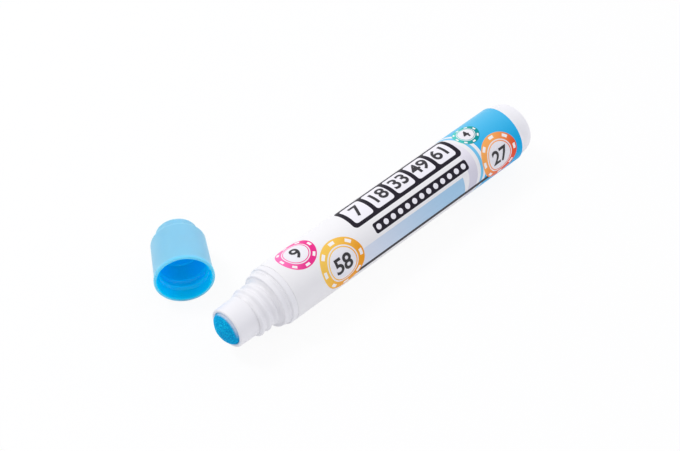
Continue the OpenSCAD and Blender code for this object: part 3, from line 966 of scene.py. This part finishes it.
def label_print():
    """The film's print: a white ground, a blue band at the base with a slanting edge and a stripe
    in front of it, a pale band and a dark rule below, a dark strip of white tiles, a strip of
    dots, and the counters. Round the barrel, the stripe greys with painted shade and the blue
    band is lighter at the top with a painted highlight."""
    material, tree, shader = new_material("label_print")
    tile, counter = rounded_tile_group(), counter_group()
    o = dauber_place().origin
    x, y, z = coordinates(object_point(tree))
    along = (x - (o[0] + x_label)) / mm
    around = ((y * -1.0) + o[1]).math("ARCTAN2", z - o[2]) * (barrel_r / mm)
    turn = around / (barrel_r / mm)

    ground = mixed(noise(object_point(tree), 9 * mm), colour(244, 243, 243), colour(241, 240, 240))

    size, band = PRINT_SIZE, PRINT_BANDS
    pale = mixed(along.rise(*band["pale_fade"]), colour(226, 228, 238), colour(166, 206, 234))
    pale_band = around.between(*band["pale_round"]) * along.between(*band["pale_along"])
    hue = mixed(pale_band, ground, pale)

    slant = along - (turn - size["slant_turn"]).math("COSINE") * size["slant_high"]
    # Painted shade: the stripe greys round the barrel, from the top down the -Y side
    stripe = mixed(turn.rise(0.2, 1.6), colour(236, 232, 240), colour(214, 212, 224))
    hue = mixed(slant.between(*band["stripe"]), hue, stripe)
    # Painted highlight: the blue band is lighter at the barrel's top, deeper down the -Y side
    sky = mixed(around.rise(-10.0, 14.0), colour(96, 194, 234), colour(0, 176, 234))
    hue = mixed(slant.between(*band["line"]), hue, colour(120, 200, 238))
    hue = mixed(slant.rise(*band["sky_edge"]), hue, sky)

    dark, tile_white = colour(38, 34, 44), colour(243, 241, 246)
    length = size["tile_pitch"] * size["tile_count"]
    middle = size["tiles_at"] + length / 2
    panel = placed(tree, tile, x=along - middle, y=around - size["tiles_round"],
                   half_x=length / 2 + size["tiles_margin"],
                   half_y=size["tile_half_round"] + size["tiles_margin_round"],
                   corner=size["panel_corner"])["mask"]
    hue = mixed(panel, hue, dark)
    step = repeated(along - size["tiles_at"], size["tile_pitch"])
    tiles = placed(tree, tile, x=step, y=around - size["tiles_round"], half_x=size["tile_half"],
                   half_y=size["tile_half_round"], corner=size["tile_corner"])["mask"] * panel
    hue = mixed(tiles, hue, tile_white)

    half, off = size["dot_pitch"] * size["dot_count"] / 2, around - size["dots_round"]
    strip = placed(tree, tile, x=along - size["dots_at"] - half, y=off,
                   half_x=half + size["strip_margin"], half_y=size["strip_half"],
                   corner=size["strip_corner"])["mask"]
    hue = mixed(strip, hue, dark)
    step = repeated(along - size["dots_at"], size["dot_pitch"])
    from_dot = (step * step + off * off).math("SQRT")
    dots = from_dot.rise(size["dot_r"] - PRINT_SOFT, size["dot_r"] + PRINT_SOFT).inverse() * strip
    hue = mixed(dots, hue, tile_white)

    rule = around.between(*band["rule_round"]) * along.between(*band["rule_along"], 0.1)
    hue = mixed(rule, hue, dark)

    for c_along, c_round, radius, _, light, deep in COUNTERS:
        part = placed(tree, counter, x=along - c_along, y=around - c_round, radius=radius,
                      light=colour(*light), deep=colour(*deep))
        hue = mixed(part["mask"], hue, part["colour"])
    grain = noise(object_point(tree), 0.5 * mm, 3.0)
    wave = noise(object_point(tree), 7 * mm, 1.0)
    rough = (grain - 0.5) * 0.1 + 0.34
    surface(tree, shader, hue, rough, wave + grain * 0.02, 0.06 * mm, 0.4)
    shader.inputs["Specular IOR Level"].default_value = 0.08
    return material


def number_ink():
    """Matt black printing ink, a little thin in places."""
    material, tree, shader = new_material("number_ink")
    thin = noise(object_point(tree), 0.6 * mm, 3.0).rise(0.4, 0.8)
    hue = mixed(thin * 0.3, colour(28, 24, 30), colour(52, 46, 56))
    surface(tree, shader, hue, 0.4, thin, 0.004 * mm, 0.3)
    return material


def washer_rubber():
    """Dark rubber with a fine dusty grain."""
    material, tree, shader = new_material("washer_rubber")
    fine = noise(object_point(tree), 0.12 * mm, 3.0, 0.6)
    hue = mixed(fine, colour(30, 30, 32), colour(58, 58, 60))
    surface(tree, shader, hue, fine * 0.2 + 0.62, fine, 0.02 * mm, 0.5)
    return material


def spring_wire():
    """Drawn stainless wire with a fine grain."""
    material, tree, shader = new_material("spring_wire")
    fine = noise(object_point(tree), 0.05 * mm, 2.0)
    hue = mixed(fine, colour(176, 176, 180), colour(214, 214, 218))
    surface(tree, shader, hue, fine * 0.15 + 0.24, fine, 0.003 * mm, 0.4)
    shader.inputs["Metallic"].default_value = 1.0
    return material


# The table, light and camera


def table_material():
    """White table that stays white to the eye, to gloss and to glass, and keeps the soft shadow."""
    material, tree, shader = new_material("table_white")
    shader.inputs["Base Color"].default_value = colour(246, 246, 248)
    shader.inputs["Roughness"].default_value = 0.7
    path = tree.nodes.new("ShaderNodeLightPath")
    seen = Wire(tree, path.outputs["Is Camera Ray"])
    for name in ("Is Glossy Ray", "Is Transmission Ray"):
        seen = seen.math("MAXIMUM", Wire(tree, path.outputs[name]))
    glow, blend = tree.nodes.new("ShaderNodeEmission"), tree.nodes.new("ShaderNodeMixShader")
    white_share = 0.92
    feed(tree, blend.inputs[0], seen * white_share)
    leave = next(n for n in tree.nodes if n.type == "OUTPUT_MATERIAL")
    tree.links.new(shader.outputs[0], blend.inputs[1])
    tree.links.new(glow.outputs[0], blend.inputs[2])
    tree.links.new(blend.outputs[0], leave.inputs[0])
    return material


def build_stage():
    """A wide plain table just under the object, flat for a metre round it and lower at its edge."""
    n, half, flat, drop = 41, 1.5, 1.0, 0.02
    clear = 0.02 * mm
    u = np.linspace(-half, half, n)
    x, y = np.meshgrid(u, u)
    z = -clear - drop * eased((np.hypot(x, y) - flat) / (half - flat))
    index = np.arange(n * n).reshape(n, n)
    corners = [index[:-1, :-1], index[:-1, 1:], index[1:, 1:], index[1:, :-1]]
    quads = np.stack(corners, -1).reshape(-1, 4)
    mesh = bpy.data.meshes.new("table")
    mesh.from_pydata(np.stack([x, y, z], -1).reshape(-1, 3).tolist(), [], quads.tolist())
    table = bpy.data.objects.new("table", mesh)
    bpy.context.scene.collection.objects.link(table)
    table.data.materials.append(table_material())


def build_lamp():
    """A wide round lamp that shines on the frame's origin."""
    data = bpy.data.lights.new("key", "AREA")
    data.shape, data.size = "DISK", lamp_width
    data.energy, data.color = lamp_watts, lamp_tint
    lamp = bpy.data.objects.new("key", data)
    lamp.location = lamp_at
    lamp.rotation_euler = (-Vector(lamp_at)).to_track_quat("-Z", "Y").to_euler()
    bpy.context.scene.collection.objects.link(lamp)


def build_light():
    """A sky that is white to the eye. What it lights gets a faintly blue light, weaker from the
    tip's end than from the base's. The lamp stands behind, on the cap's side."""
    world = bpy.data.worlds.new("white_sky")
    bpy.context.scene.world = world
    world.use_nodes = True
    tree = world.node_tree
    sky = tree.nodes["Background"]
    path = tree.nodes.new("ShaderNodeLightPath")
    seen = Wire(tree, path.outputs["Is Camera Ray"])
    aim = Wire(tree, tree.nodes.new("ShaderNodeTexCoord").outputs["Generated"])
    lit = coordinates(aim)[0] * sky_slope + sky_middle
    feed(tree, sky.inputs["Color"], mixed(seen, sky_tint, (1, 1, 1, 1)))
    feed(tree, sky.inputs["Strength"], lit.math("MULTIPLY", seen.inverse()) + seen)
    build_lamp()
    bpy.context.scene.view_settings.view_transform = "Standard"


def build_camera():
    """The photograph's camera, above the table on the side of the foam tip."""
    data = bpy.data.cameras.new("camera")
    data.lens, data.sensor_width = camera_lens, camera_sensor
    data.clip_start, data.clip_end = 0.01, 20
    camera = bpy.data.objects.new("camera", data)
    x, y, _ = dauber_place().origin
    camera.location, camera.rotation_euler = Vector((x, y, 0)) + camera_at, camera_turn
    bpy.context.scene.collection.objects.link(camera)
    bpy.context.scene.camera = camera


def dress(piece, material, body, slot, *nodes):
    """Gives a piece its material and its body, and hides the CAD nodes that it stands for.
    slot is not used.
    """
    piece.data.materials.append(material)
    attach(piece, body)
    if nodes:
        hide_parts(*nodes)
    return piece


def repaint(node, material):
    """Puts a material in every slot of a CAD node."""
    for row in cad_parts[node].material_slots:
        row.material = material


build_camera()
build_stage()
build_light()

skin = moulded_skin_group()
valve_plastic = plastic("valve_plastic", (228, 228, 226), skin, rough=0.42)
barrel_plastic = plastic("barrel_plastic", plastic_white, skin)
dress(bottle_piece(), barrel_plastic, "dauber", "barrel_plastic", "bottle")
dress(nose_piece(), nose_plastic(skin), "dauber", "nose_plastic", "tip_housing")
dress(label_piece(), label_print(), "dauber", "label_print", "label")
dress(numbers_piece(), number_ink(), "dauber", "label_print")
foam = dress(foam_piece(), wet_foam(), "tip", "foam", "foam_tip")
dress(cap_piece(), cap_plastic(skin), "cap", "cap_plastic", "cap")
repaint("foam_carrier", valve_plastic)
repaint("valve_head", valve_plastic)
repaint("spring_cage", valve_plastic)
repaint("valve_washer", washer_rubber())
repaint("valve_spring", spring_wire())
